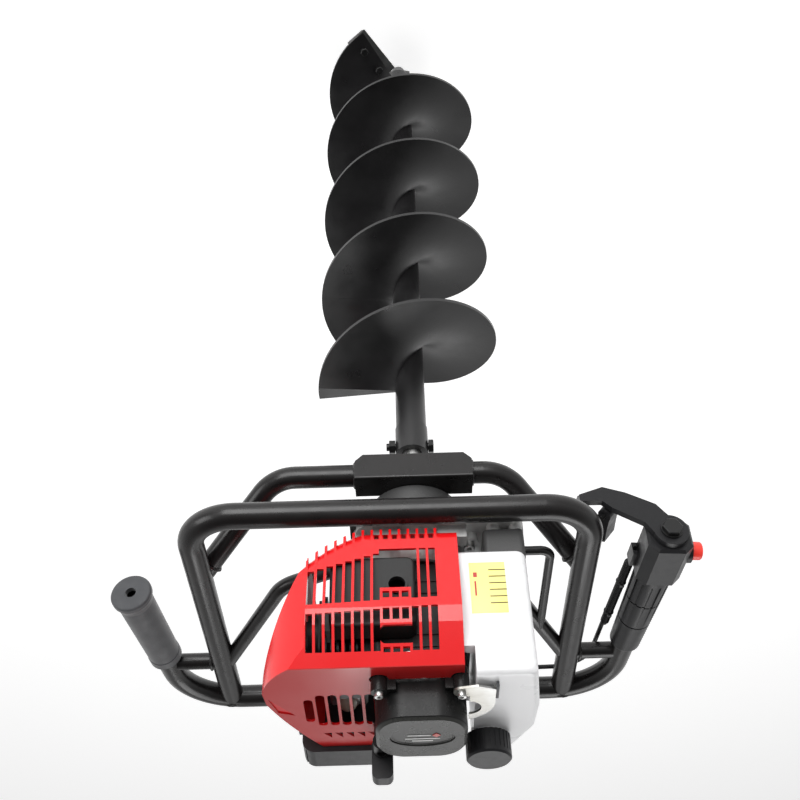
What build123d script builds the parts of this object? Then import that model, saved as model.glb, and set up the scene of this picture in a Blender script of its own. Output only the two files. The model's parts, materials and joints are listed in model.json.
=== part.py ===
from build123d import *
import math
import os

# One-person petrol auger for drilling round holes in ice or soil.
# Frame of the model: +Z is up with the bit pointing down, the origin is the pilot tip on the bit's axis,
# -Y is the operator's front side (guard plate, slotted cover), +X is the rubber grip's side.
# Millimetres throughout.

# ---------------------------------------------------------------- driving dimensions
BIT_DIAMETER = 200.0
FLIGHT_PITCH = 144.7
FLIGHT_TOP = 650.0
FLIGHT_TURNS = 4
LAST_ARC = 56.0                 # degrees of flight below the full turns, down to the cutting edge
FLIGHT_PLATE = 4.0
BIT_TUBE_OD = 32.0
BIT_TUBE_ID = 22.0
COUPLER_OD = 34.0
COUPLER_Z = (706.0, 740.0)
OUTPUT_D = 20.0
PIN_Z = 729.0
PIN_D = 8.0

FRAME_Z = 862.0                 # level of the frame's tube centres
FRAME_X = 24.0                  # the frame's middle, beside the bit's axis
TUBE_OD = 25.0
TUBE_WALL = 2.0
FRONT_Y = -68.0
REAR_Y = 283.0
LEG_X = 190.0                   # half width of the loop, centre to centre
GRIP_X = 240.0                  # half width at the rear corners of the handlebar
CORNER_R = 46.0
BEND_R = 72.0
PAD_TUBE_OD = 22.0
PAD_Y = -42.0
PAD_Z = 798.5
STRUT_OD = 16.0
BRACE_OD = 18.0

GEAR_MODULE = 1.25
WHEEL_TEETH = 60
PINION_TEETH = 12
CENTRE_DISTANCE = (WHEEL_TEETH + PINION_TEETH) * GEAR_MODULE / 2 + 0.10
LAYSHAFT_Y = CENTRE_DISTANCE
CASE_Z = (813.0, 841.0)
COVER_TOP = 853.0
BOSS_BOTTOM = 771.0
MOUNT_Z = (853.0, 858.0)
CLUTCH_Z = (858.0, 900.0)
CRANKCASE_Z = (900.0, 990.0)
CYLINDER_Z = 955.0
BORE_D = 44.0
STROKE = 32.0
SHROUD_TOP = 1015.0
RECOIL_Z = (1013.0, 1050.0)
RECOIL_EARS = [(36, -37), (-34, -37), (36, 47), (-26, 47)]
EAR_TOP = 1027.4
RUN = 0.05                      # radial running clearance
WALL = 2.5

os.makedirs("parts", exist_ok=True)


def write(name, shape):
    export_step(shape, f"parts/{name}.step")
    return shape


def group(*shapes):
    return Compound(children=[s.solid() if len(s.solids()) == 1 else s for s in shapes])


def rod(a, b, radius):
    """A round bar from point a to point b."""
    start = Vector(*a)
    line = Vector(*b) - start
    return extrude(Plane(origin=start, z_dir=line) * Circle(radius), line.length)


def ring(z0, z1, outer, inner, x=0.0, y=0.0):
    """A round sleeve standing on z0."""
    wall = Cylinder(outer, z1 - z0, align=(Align.CENTER, Align.CENTER, Align.MIN))
    hole = Cylinder(inner, z1 - z0, align=(Align.CENTER, Align.CENTER, Align.MIN))
    return Pos(x, y, z0) * (wall - hole)


def disc(z0, z1, radius, x=0.0, y=0.0):
    return Pos(x, y, z0) * Cylinder(radius, z1 - z0, align=(Align.CENTER, Align.CENTER, Align.MIN))


def block(x0, x1, y0, y1, z0, z1):
    return Pos((x0 + x1) / 2, (y0 + y1) / 2, (z0 + z1) / 2) * Box(x1 - x0, y1 - y0, z1 - z0)


def bar(points, radius, bends):
    """A solid round bar along straight runs joined by bends."""
    path = FilletPolyline(*points, radius=bends)
    return sweep(Plane(origin=path @ 0, z_dir=path % 0) * Circle(radius), path=path)


def tube(points, outer, wall, bends):
    return bar(points, outer / 2, bends) - bar(points, outer / 2 - wall, bends)


def hex_bolt(length, d, across, head):
    """A hexagon bolt along +Z with its head's underside at the origin and its shank below."""
    body = extrude(RegularPolygon(across / 2, 6, major_radius=False), head)
    body = chamfer(body.faces().sort_by(Axis.Z)[-1].edges(), 0.6)
    return body + Pos(0, 0, -length / 2) * Cylinder(d / 2, length)


def socket_screw(length, d, head_d, head):
    """A cap screw along +Z with its head's underside at the origin."""
    body = Pos(0, 0, head / 2) * Cylinder(head_d / 2, head)
    body = chamfer(body.edges().group_by(Axis.Z)[-1], 0.4)
    body -= extrude(Pos(0, 0, head * 0.4) * RegularPolygon(d * 0.42, 6), head)
    return body + Pos(0, 0, -length / 2) * Cylinder(d / 2, length)


def facing(origin, direction):
    """Where a thing made along +Z goes so that it points along a direction."""
    return Location(Plane(origin=origin, z_dir=direction))


# ---------------------------------------------------------------- bit
def flight(z_top, arc, start_angle):
    """A right-handed flight going down from z_top through an arc in degrees, as one plate."""
    half = FLIGHT_PLATE / FLIGHT_PITCH * 180
    inner = BIT_TUBE_OD / 2
    outer = BIT_DIAMETER / 2
    sector = make_face([
        Line(polar(inner, -half), polar(outer, -half)),
        ThreePointArc(polar(outer, -half), polar(outer, 0), polar(outer, half)),
        Line(polar(outer, half), polar(inner, half)),
        ThreePointArc(polar(inner, half), polar(inner, 0), polar(inner, -half)),
    ])
    height = FLIGHT_PITCH * arc / 360
    base = Pos(0, 0, z_top - height) * Rot(0, 0, start_angle - arc) * sector
    twisted = Solid.extrude_linear_with_rotation(base.face(), (0, 0, z_top - height), (0, 0, height), arc)
    return twisted


def polar(radius, degrees):
    return (radius * math.cos(math.radians(degrees)), radius * math.sin(math.radians(degrees)))


def make_bit():
    turns = []
    for i in range(FLIGHT_TURNS):
        turns.append(flight(FLIGHT_TOP - i * FLIGHT_PITCH, 360.0, 0.0))
    last_top = FLIGHT_TOP - FLIGHT_TURNS * FLIGHT_PITCH
    last = flight(last_top, LAST_ARC, 0.0)

    tube_body = ring(30.0, COUPLER_Z[0], BIT_TUBE_OD / 2, BIT_TUBE_ID / 2)
    write("bit_tube", tube_body)

    pin_hole = rod((-40, 0, PIN_Z), (40, 0, PIN_Z), PIN_D / 2)
    coupler = ring(COUPLER_Z[0], COUPLER_Z[1], COUPLER_OD / 2, OUTPUT_D / 2 + 0.15)
    coupler = chamfer(coupler.edges().filter_by(GeomType.CIRCLE).sort_by(Axis.Z)[-1], 0.8)
    write("bit_coupler", coupler - pin_hole)

    pin = facing((-COUPLER_OD / 2 - 0.3, 0, PIN_Z), (-1, 0, 0)) * hex_bolt(44.0, PIN_D, 13.0, 5.3)
    nut = extrude(RegularPolygon(6.5, 6, major_radius=False), 6.5) - Cylinder(PIN_D / 2, 30)
    nut = facing((COUPLER_OD / 2 + 0.3, 0, PIN_Z), (1, 0, 0)) * nut
    write("coupler_bolt", group(pin, nut))

    shaft = disc(709.0, 834.0, OUTPUT_D / 2)
    write("output_shaft", chamfer(shaft.edges(), 0.8) - pin_hole)

    # pilot: a plug in the tube's end carrying a fishtail point
    plug = disc(28.0, 58.0, BIT_TUBE_ID / 2)
    neck = Pos(0, 0, 20) * Cone(9, 16, 20, align=(Align.CENTER, Align.CENTER, Align.CENTER))
    tail = extrude(Plane.XZ * make_face(Polyline((-15, 26), (15, 26), (17, 14), (6, 9), (0, 0), (-6, 9),
                                                 (-17, 14), close=True)), 3.0, both=True)
    write("pilot_point", plug + neck + tail)

    # hardened blade lying under the flight's leading edge
    edge_z = last_top - FLIGHT_PITCH * LAST_ARC / 360
    slope = math.degrees(math.atan(FLIGHT_PITCH / (2 * math.pi * 66)))
    at_edge = Location((0, 0, edge_z)) * Location((0, 0, 0), (0, 0, -LAST_ARC))
    lay = at_edge * Location((62, 4, -4.6), (slope, 0, 0))
    blade = Box(74, 30, 5)
    blade = chamfer(blade.faces().sort_by(Axis.Y)[0].edges().filter_by(Axis.X).sort_by(Axis.Z)[0], 4.4)
    blade = lay * blade - last
    blade = max(blade.solids(), key=lambda s: s.volume)
    bolts = []
    for x in (-18, 18):
        bolt = lay * (Pos(x, 5, 14.5) * hex_bolt(17.0, 6.0, 10.0, 4.0))
        blade -= lay * (Pos(x, 5, 0) * Cylinder(3.0, 60))
        bolts.append(bolt)
    shanks = [lay * (Pos(x, 5, 0) * Cylinder(3.0, 60)) for x in (-18, 18)]
    write("flighting", Compound(children=turns + [(last - shanks[0] - shanks[1]).solid()]))
    write("cutter_blade", blade)
    write("blade_bolts", group(*bolts))


# ---------------------------------------------------------------- gears
def gear(teeth, z0, z1, x, y, phase, tip, root, backlash):
    """An involute spur gear; tip and root are heights off the pitch circle."""
    pitch_r = teeth * GEAR_MODULE / 2
    base_r = pitch_r * math.cos(math.radians(20))
    tip_r = pitch_r + tip
    root_r = pitch_r - root
    inv20 = math.tan(math.radians(20)) - math.radians(20)
    half = math.pi / (2 * teeth) - backlash / (2 * pitch_r)

    def flank(radius):
        if radius <= base_r:
            return half + inv20
        a = math.acos(base_r / radius)
        return half + inv20 - (math.tan(a) - a)

    start = max(root_r, base_r)
    radii = [start + (tip_r - start) * k / 4 for k in range(5)]
    if root_r < base_r:
        radii.insert(0, root_r)
    points = []
    for tooth in range(teeth):
        centre = math.radians(phase) + 2 * math.pi * tooth / teeth
        for r in radii:
            points.append((r * math.cos(centre - flank(r)), r * math.sin(centre - flank(r))))
        for r in reversed(radii):
            points.append((r * math.cos(centre + flank(r)), r * math.sin(centre + flank(r))))
    outline = make_face(Polyline(*points, close=True))
    return Pos(x, y, z0) * extrude(outline, z1 - z0)


def wheel(z0, z1, y, phase, bore):
    body = gear(WHEEL_TEETH, z0, z1, 0, y, phase, 0.85, 1.6, 0.16)
    for z in (z0, z1 - 2.0):
        body -= ring(z, z + 2.0, 31.0, 15.0, 0, y)
    for k in range(5):
        angle = math.radians(72 * k)
        body -= disc(z0, z1, 4.5, 23 * math.cos(angle), y + 23 * math.sin(angle))
    return body - disc(z0, z1, bore, 0, y)


def stadium(z0, z1, radius):
    """A round-ended block over both gear shafts."""
    shape = disc(z0, z1, radius) + disc(z0, z1, radius, 0, LAYSHAFT_Y)
    return shape + block(-radius, radius, 0, LAYSHAFT_Y, z0, z1)


def bearing(z0, width, outer, inner, y=0.0):
    body = ring(z0, z0 + width, outer, inner, 0, y)
    middle = (outer + inner) / 2
    for z in (z0, z0 + width - 0.8):
        body -= ring(z, z + 0.8, middle + 1.6, middle - 1.6, 0, y)
    return body


CASE_BOLTS = [(-36, -34), (36, -34), (-36, LAYSHAFT_Y + 34), (36, LAYSHAFT_Y + 34)]
MOUNT_BOLTS = [(-50, -30), (50, -30), (-50, 40), (50, 40)]


def make_gearbox():
    case = stadium(CASE_Z[0], CASE_Z[1], 43.5)
    lugs = [disc(CASE_Z[0] + 14, CASE_Z[1], 7.0, x, y) for x, y in CASE_BOLTS]
    for lug in lugs:
        case += lug
    case += disc(BOSS_BOTTOM, CASE_Z[0], 26.0)
    for angle in (-30, 30, 90, 150, 210):
        rib = block(20, 38, -2, 2, BOSS_BOTTOM + 14, CASE_Z[0])
        rib -= Pos(38, 0, BOSS_BOTTOM + 14) * Rot(0, 45, 0) * Box(18, 6, 18)
        case += Rot(0, 0, angle) * rib
    case -= stadium(CASE_Z[0] + 4, CASE_Z[1], 39.8)
    case -= disc(BOSS_BOTTOM, 820, 13.0)
    case -= disc(BOSS_BOTTOM, BOSS_BOTTOM + 6, 17.0)
    case -= disc(777, 789, 21.0)
    case -= disc(799, 811, 21.0)
    case -= disc(789, 799, 19.0)
    case -= disc(813, 820, 12.0, 0, LAYSHAFT_Y)
    case += ring(811.5, 813.5, 20.0, 13.0)
    for x, y in CASE_BOLTS:
        case -= disc(800, 860, 2.55, x, y)
    write("gearbox_case", case)

    cover = stadium(CASE_Z[1], COVER_TOP, 43.5)
    for x, y in CASE_BOLTS:
        cover += disc(CASE_Z[1], COVER_TOP - 4, 7.0, x, y)
    cover += disc(COVER_TOP, 862, 21.0)
    cover += disc(COVER_TOP - 4, COVER_TOP, 5.5, -36, LAYSHAFT_Y)
    cover -= stadium(CASE_Z[1], 848, 39.8)
    cover -= disc(848, 862, 9.0)
    cover -= disc(849, 857, 14.0)
    cover -= disc(848, 851, 12.0, 0, LAYSHAFT_Y)
    for x, y in CASE_BOLTS:
        cover -= disc(800, 860, 2.55, x, y)
    write("gearbox_cover", cover)

    screws = []
    for x, y in CASE_BOLTS:
        screws.append(Pos(x, y, COVER_TOP - 4) * socket_screw(19.0, 5.0, 8.5, 3.8))
    for x, y in MOUNT_BOLTS:
        screws.append(Pos(x, y, 874) * socket_screw(24.0, 6.0, 10.0, 6.0))
    write("case_bolts", group(*screws))

    write("output_gear", wheel(819, 832, 0, 0, OUTPUT_D / 2))
    lay = gear(PINION_TEETH, 817.6, 835.0, 0, LAYSHAFT_Y, 15.0, 1.15, 1.75, 0.16)
    lay += disc(813.2, 850.6, 5.0, 0, LAYSHAFT_Y)
    lay += disc(835.0, 846.4, 6.5, 0, LAYSHAFT_Y)
    write("layshaft", lay)
    write("layshaft_gear", wheel(836, 846, LAYSHAFT_Y, 3.0, 6.5))
    pinion = gear(PINION_TEETH, 835.2, 847.2, 0, 0, 0.0, 1.15, 1.75, 0.16)
    pinion += disc(847.2, 872, 6.0)
    write("input_pinion", pinion)

    races = [
        bearing(777, 12, 21.0, OUTPUT_D / 2 + RUN),
        bearing(799, 12, 21.0, OUTPUT_D / 2 + RUN),
        bearing(849, 8, 14.0, 6.0 + RUN),
        ring(813, 817, 12.0, 5.0 + RUN, 0, LAYSHAFT_Y),
        ring(848, 851, 12.0, 5.0 + RUN, 0, LAYSHAFT_Y),
    ]
    write("gearbox_bearings", group(*races))
    write("shaft_seal", ring(BOSS_BOTTOM, BOSS_BOTTOM + 6, 17.0, OUTPUT_D / 2 + RUN))


# ---------------------------------------------------------------- clutch and crank
def make_clutch():
    flange = extrude(Pos(-22, 4, 858) * RectangleRounded(156, 112, 12), 8)
    housing = flange + disc(858, 900, 47.0)
    for x, y in MOUNT_BOLTS:
        housing += disc(858, 874, 9.0, x, y)
    for x in (-94, -72):
        housing += disc(858, 872, 6.5, x, -44)
    housing += block(-47, -20, -51, -36, 866, 880)
    housing += block(14, 40, -51, -36, 866, 878)
    housing -= disc(863, 900, 43.0)
    housing -= disc(858, 866, 21.0)
    for x, y in MOUNT_BOLTS:
        housing -= disc(850, 880, 3.0, x, y)
    for x in (-94, -72):
        housing -= disc(850, 880, 2.0, x, -44)
    write("clutch_housing", housing)

    drum = disc(868, 892, 39.0) - disc(871, 892, 36.5) - disc(860, 880, 6.0)
    drum += ring(864, 868, 11.0, 6.0)
    write("clutch_drum", drum)

    shoe = ring(874, 888, 35.0, 22.0) & block(-40, 40, 3, 40, 870, 890)
    shoe += ring(874, 888, 22.0, 12.0) & block(-7, 7, 3, 40, 870, 890)
    write("clutch_shoes", group(shoe, Rot(0, 0, 180) * shoe))

    crank = disc(872.5, 896, 11.9) - disc(872, 874, 20.0)
    crank = disc(874, 900, 11.9) + disc(900, 948, 10.0) + disc(962, 1016, 7.5)
    web = disc(938, 948, 31.0) + disc(962, 972, 31.0)
    crank += web
    for z0, z1 in ((938, 948), (962, 972)):
        crank -= block(4, 40, -40, -15, z0, z1)
        crank -= block(4, 40, 15, 40, z0, z1)
        crank -= disc(z0, z1, 6.5, STROKE / 2, 0)
    write("crankshaft", crank)
    races = [bearing(908, 14, 20.0, 10.0 + RUN), bearing(976, 10, 16.0, 7.5 + RUN)]
    write("crank_bearings", group(*races))

    fly = disc(991.5, 998, 43.0) + disc(998, 1006, 14.0)
    fly -= disc(990, 1008, 7.5)
    for k in range(16):
        blade = block(20, 45.5, -1, 1, 998, 1009)
        fly += Rot(0, 0, 22.5 * k) * (Pos(20, 0, 0) * Rot(0, 0, 25) * Pos(-20, 0, 0) * blade & disc(990, 1010, 43.0))
    write("flywheel", fly)


def make_cylinder_train():
    case = block(-42, 38, -38, 38, CRANKCASE_Z[0], CRANKCASE_Z[1])
    case = fillet(case.edges().filter_by(Axis.Z), 14)
    case += block(36, 44, -31, 31, CYLINDER_Z - 31, CYLINDER_Z + 31)
    for x, y in RECOIL_EARS:
        case += disc(982, RECOIL_Z[0], 5.5, x, y)
        case += block(min(x, x * 0.8), max(x, x * 0.8), min(y, y * 0.7), max(y, y * 0.7), 982, 990)
    for z in (918, 930, 972, 984):
        case += block(-44, 10, -39.5, 39.5, z, z + 2)
    case -= disc(937, 973, 33.0)
    case -= disc(899, 940, 13.0)
    case -= disc(908, 922, 20.0)
    case -= disc(970, 992, 9.0)
    case -= disc(976, 986, 16.0)
    case -= rod((20, 0, CYLINDER_Z), (60, 0, CYLINDER_Z), BORE_D / 2 + 2.5)
    for x, y in RECOIL_EARS:
        case -= disc(1000, 1014, 2.0, x, y)
    write("crankcase", case)

    barrel = rod((36, 0, CYLINDER_Z), (101, 0, CYLINDER_Z), BORE_D / 2 + 2.5)
    barrel += block(44, 50, -31, 31, CYLINDER_Z - 31, CYLINDER_Z + 31)
    for k in range(9):
        x = 54 + 5.6 * k
        half = 31.0 - max(0, k - 5) * 2.5
        fin = Pos(x, 0, CYLINDER_Z) * Rot(0, 90, 0) * extrude(RectangleRounded(2 * half, 2 * half, 9), 2.0)
        barrel += fin
    barrel += block(56, 84, -41, 0, CYLINDER_Z - 14, CYLINDER_Z + 14)
    barrel += block(54, 86, 0, 40, CYLINDER_Z - 14, CYLINDER_Z + 14)
    barrel -= rod((30, 0, CYLINDER_Z), (93, 0, CYLINDER_Z), BORE_D / 2)
    barrel -= rod((70, -60, CYLINDER_Z), (70, 0, CYLINDER_Z), 9.0)
    barrel -= rod((68, 60, CYLINDER_Z), (68, 0, CYLINDER_Z), 9.0)
    barrel -= rod((90, 0, CYLINDER_Z), (120, 0, CYLINDER_Z), 7.0)
    write("cylinder", barrel)

    crown = 76 + 14
    piston = rod((62, 0, CYLINDER_Z), (crown, 0, CYLINDER_Z), BORE_D / 2 - RUN)
    piston -= rod((60, 0, CYLINDER_Z), (crown - 4, 0, CYLINDER_Z), BORE_D / 2 - 3)
    for x in (crown - 5, crown - 9):
        groove = rod((x, 0, CYLINDER_Z), (x + 1.4, 0, CYLINDER_Z), BORE_D / 2)
        groove -= rod((x, 0, CYLINDER_Z), (x + 1.4, 0, CYLINDER_Z), BORE_D / 2 - 1.4)
        piston -= groove
    piston += rod((76, 0, CYLINDER_Z - 20), (76, 0, CYLINDER_Z - 6), 7.5)
    piston += rod((76, 0, CYLINDER_Z + 6), (76, 0, CYLINDER_Z + 20), 7.5)
    pin = rod((76, 0, CYLINDER_Z - 19.5), (76, 0, CYLINDER_Z + 19.5), 5.0)
    write("piston", piston - pin)
    small = ring(CYLINDER_Z - 5.5, CYLINDER_Z + 5.5, 8.5, 5.0, 76)
    big = ring(CYLINDER_Z - 5.5, CYLINDER_Z + 5.5, 11.0, 6.5, STROKE / 2)
    beam = block(26, 68.5, -4, 4, CYLINDER_Z - 3, CYLINDER_Z + 3)
    big_pin = disc(CYLINDER_Z - 6.5, CYLINDER_Z + 6.5, 6.5, STROKE / 2)
    write("connecting_rod", group(small + big + beam, pin, big_pin))


def make_engine_fittings():
    plug = rod((93.5, 0, CYLINDER_Z), (101, 0, CYLINDER_Z), 7.0)
    plug += facing((101, 0, CYLINDER_Z), (1, 0, 0)) * extrude(RegularPolygon(9.0, 6, major_radius=False), 6)
    plug += rod((107, 0, CYLINDER_Z), (112, 0, CYLINDER_Z), 4.5)
    write("spark_plug", plug)
    boot = rod((107.2, 0, CYLINDER_Z), (115, 0, CYLINDER_Z), 7.5)
    boot += rod((112.5, 0, CYLINDER_Z), (112.5, 0, CYLINDER_Z + 22), 5.0)
    boot -= rod((100, 0, CYLINDER_Z), (112, 0, CYLINDER_Z), 4.5)
    write("plug_cap", boot)

    muffler = block(2, 78, -63.5, -41, 908, 978)
    muffler = fillet(muffler.edges().filter_by(Axis.Y), 8)
    muffler = fillet(muffler.faces().sort_by(Axis.Y)[0].edges(), 3)
    muffler -= block(5, 75, -61, -43.5, 911, 975)
    muffler += rod((18.5, -65.5, 938), (18.5, -60, 938), 9.5)
    muffler -= rod((18.5, -72, 938), (18.5, -50, 938), 7.5)
    muffler -= rod((70, -45, CYLINDER_Z), (70, -30, CYLINDER_Z), 9.0)
    write("muffler", muffler)

    spacer = block(50, 86, 40, 54, CYLINDER_Z - 18, CYLINDER_Z + 18)
    spacer = fillet(spacer.edges().filter_by(Axis.Y), 6) - rod((68, 30, CYLINDER_Z), (68, 60, CYLINDER_Z), 8.0)
    write("intake_spacer", spacer)
    carb = block(50, 86, 54, 90.6, CYLINDER_Z - 18, CYLINDER_Z + 18)
    carb = fillet(carb.edges().filter_by(Axis.Y), 3)
    carb += rod((68, 68, CYLINDER_Z + 18), (68, 68, CYLINDER_Z + 27), 11.0)
    carb += rod((50, 68, CYLINDER_Z - 4), (42, 68, CYLINDER_Z - 4), 3.0)
    carb += rod((86, 60, CYLINDER_Z - 8), (90, 60, CYLINDER_Z - 8), 4.0)
    carb -= rod((68, 50, CYLINDER_Z), (68, 96, CYLINDER_Z), 7.5)
    write("carburettor", carb)

    box = block(30, 112, 90.6, 128, 925, 1020)
    box = fillet(box.edges().filter_by(Axis.Y), 12)
    box = fillet(box.faces().sort_by(Axis.Y)[-1].edges(), 7)
    box -= block(34, 109, 93, 125, 928, 1017)
    for k in range(6):
        z = 940 + 10 * k
        box -= block(50, 92, 115, 135, z, z + 4)
    box -= rod((68, 80, CYLINDER_Z), (68, 95, CYLINDER_Z), 9.0)
    box -= rod((106, 108, 965), (114, 108, 965), 4.0 + RUN)
    write("air_filter_box", box)
    lever = rod((112.3, 108, 965), (117, 108, 965), 7.0)
    lever += block(113, 117, 105, 111, 965, 993)
    lever += rod((109, 108, 965), (113, 108, 965), 4.0)
    write("choke_lever", lever)

    coil = block(52, 76, -14, 14, 989.5, 1006)
    coil = fillet(coil.edges().filter_by(Axis.Z), 3)
    coil += block(44.5, 52, -14, -8, 993, 1003) + block(44.5, 52, 8, 14, 993, 1003)
    write("ignition_coil", coil)


# ---------------------------------------------------------------- covers
COVER_LOW = 878.0
COVER_ROUND = 15.0              # radius along the cover's lower front edge


def cover_outline(inset, top):
    """The cover seen from the front, its lower edge sweeping up to the outer side."""
    x0 = -37.0 if inset == 0 else -57.0
    low = COVER_LOW + (inset > 0) * inset
    return make_face([
        Line((x0, low), (50, low)),
        ThreePointArc((50, low), (79 - inset / 2, 894 + inset), (101 - inset, 914 + inset)),
        ThreePointArc((101 - inset, 914 + inset), (123 - inset, 956), (138 - inset, 1000)),
        Line((138 - inset, 1000), (138 - inset, top)),
        Line((138 - inset, top), (x0, top)),
        Line((x0, top), (x0, low)),
    ])


def shroud_body(inset, top):
    """The cover's outer form, or its inner one when inset: an outline, a section and a plan crossed."""
    low = 860.0
    x0 = -37.0 if inset == 0 else -57.0
    by_side = extrude(Plane.XZ * cover_outline(inset, top), 200, both=True)
    back = 90 if inset == 0 else 120
    section = make_face(Polyline(
        (-60 + inset, low), (-77 + inset, 968), (-74 + inset, 982), (-58 + inset, top), (back, top), (back, low),
        close=True))
    by_section = extrude(Plane.YZ * section, 250, both=True)
    plan = make_face([
        Line((x0, -95), (96 - inset, -95)),
        Line((96 - inset, -95), (98 - inset, -66)),
        ThreePointArc((98 - inset, -66), (124 - inset, -46), (138 - inset, -16)),
        Line((138 - inset, -16), (136 - inset, 4)),
        ThreePointArc((136 - inset, 4), (122 - inset, 38), (92 - inset, back)),
        Line((92 - inset, back), (x0, back)),
        Line((x0, back), (x0, -95)),
    ])
    by_plan = Pos(0, 0, 850) * extrude(plan, 250)
    return by_side & by_section & by_plan


SLOT_PITCH = 8.25
SLOT_WIDTH = 5.9
SLOT_FIRST_X = 94.0
WINDOW_X = (2.5, 34.0)


def make_shroud():
    sharp = shroud_body(0, SHROUD_TOP)
    lip = sharp.edges().filter_by(lambda e: e.center().Y < -58 and e.center().Z < 912 and e.length > 30)
    rounded = fillet(lip, COVER_ROUND)
    inner = shroud_body(WALL, SHROUD_TOP - WALL) & (Pos(-WALL, WALL, WALL) * rounded)
    cover = rounded - inner
    # open over the starter and behind it
    cover -= block(-60, 41.2, -37, 120, 1000, 1030)
    cover -= block(-60, -34, -40, 120, 870, 1030)
    # the long slots of the front face, in two rows either side of the belt
    for i in range(15):
        x = SLOT_FIRST_X - SLOT_PITCH * i
        x0 = x - SLOT_WIDTH / 2
        x1 = x + SLOT_WIDTH / 2
        in_window = x0 > WINDOW_X[0] - 2 and x1 < WINDOW_X[1] + 2
        if x1 < -18:
            continue
        foot = 902 + max(0.0, x - 20) * 0.33
        if x < 40:
            cover -= block(x0 + 1, x1 - 1, -100, -40, 883, 890)
        if not in_window:
            cover -= block(x0, x1, -100, -40, foot, 959 + 0.05 * x)
            cover -= block(x0, x1, -100, -40, 968 + 0.05 * x, 1003)
        else:
            cover -= block(x0, x1, -100, -40, 951, 958)
            cover -= block(x0, x1, -100, -40, 969, 979)
            cover -= block(x0, x1, -100, -50, 1000, 1004)
    # ribs between the slots stand proud of the rounded lower edge
    proud = sharp - inner
    for i in range(15):
        x = SLOT_FIRST_X - SLOT_PITCH * (i - 0.5)
        half = (SLOT_PITCH - SLOT_WIDTH) / 2
        cover += block(x - half, x + half, -100, -40, 870, 940) & proud
    # the underside is open around the clutch housing
    cover -= block(-60, 98, -52, 130, 860, 913)
    # muffler window and the rounded slot under it
    cover -= block(WINDOW_X[0], WINDOW_X[1], -100, -50, 902, 947)
    rounded = extrude(Plane.XZ * (Pos(18.5, 990.5) * RectangleRounded(31, 14, 5)), 60)
    cover -= Pos(0, -45, 0) * rounded
    # starter-side slots on the top face
    for i in range(6):
        x = 99.5 - 10.8 * i
        length = 58 if i else 42
        cover -= Pos(x, 18, 1010) * extrude(SlotOverall(length, 8.2, rotation=90), 20)
    for i in range(5):
        x = 90.0 - 10.2 * i
        vent = extrude(make_face(Polyline((x, 62), (x - 7.5, 62), (x - 7.5, 72), close=True)), 40)
        cover -= Pos(0, 0, 1000) * vent
    # triangular pocket at the outer corner
    pocket = make_face(Polyline((134, -6), (112, 26), (127, 20), close=True))
    cover -= Pos(0, 0, SHROUD_TOP - 1.2) * extrude(pocket, 5)
    for x, y in RECOIL_EARS[:3]:
        cover -= disc(990, 1030, 8.4, x, y)
    cover = max(cover.solids(), key=lambda s: s.volume)
    write("engine_shroud", cover)




def make_recoil():
    body = extrude(Pos(0.5, 5, RECOIL_Z[0]) * RectangleRounded(79, 75, 26), RECOIL_Z[1] - RECOIL_Z[0])
    body = chamfer(body.faces().sort_by(Axis.Z)[-1].edges(), 3.0)
    body -= extrude(Pos(0.5, 5, RECOIL_Z[0]) * RectangleRounded(73, 69, 23), 27)
    inside = extrude(Pos(0.5, 5, RECOIL_Z[0]) * RectangleRounded(74, 70, 23), 30)
    for x, y in RECOIL_EARS:
        xs = sorted((x, x * 0.6))
        ys = sorted((y, 5 + (y - 5) * 0.7))
        ear = disc(RECOIL_Z[0], EAR_TOP, 7.0, x, y) + block(*xs, *ys, RECOIL_Z[0], EAR_TOP - 3)
        body += ear - inside
    body += rod((36, 36, 1036), (36, 53, 1036), 8.0) - disc(1000, 1040, 33.0, 0.5, 5)
    body -= rod((36, 20, 1036), (36, 60, 1036), 2.6)
    oval = Pos(0, 4, RECOIL_Z[1] - 1.6) * extrude(Ellipse(28, 15.5), 4)
    body -= oval
    for x, y in RECOIL_EARS:
        body -= disc(RECOIL_Z[0], 1031, 2.0, x, y) + disc(EAR_TOP, 1052, 4.6, x, y)
    body += disc(1021, 1045, 5.95)
    write("recoil_housing", max(body.solids(), key=lambda s: s.volume))
    screws = []
    for i, (x, y) in enumerate(RECOIL_EARS):
        lift = 2.0 if i == 1 else 0.0
        screws.append(Pos(x, y, EAR_TOP + lift) * socket_screw(24.0 + lift, 4.0, 7.5, 4.5))
    write("recoil_screws", group(*screws))
    pulley = disc(1021, 1037, 29.0, 0, 0) - ring(1024, 1034, 29.0, 22.0) - disc(1015, 1040, 6.0)
    write("recoil_pulley", pulley)
    handle = block(26.5, 45.5, 56.5, 74, 1024.5, 1062)
    handle = fillet(handle.edges().filter_by(Axis.Y), 6)
    handle = fillet(handle.faces().sort_by(Axis.Y)[-1].edges(), 4)
    handle += rod((36, 54, 1036), (36, 57, 1036), 5.5)
    write("starter_handle", handle)


# ---------------------------------------------------------------- tank
CAP_X = -59.5
CAP_Y = 54.0


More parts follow.
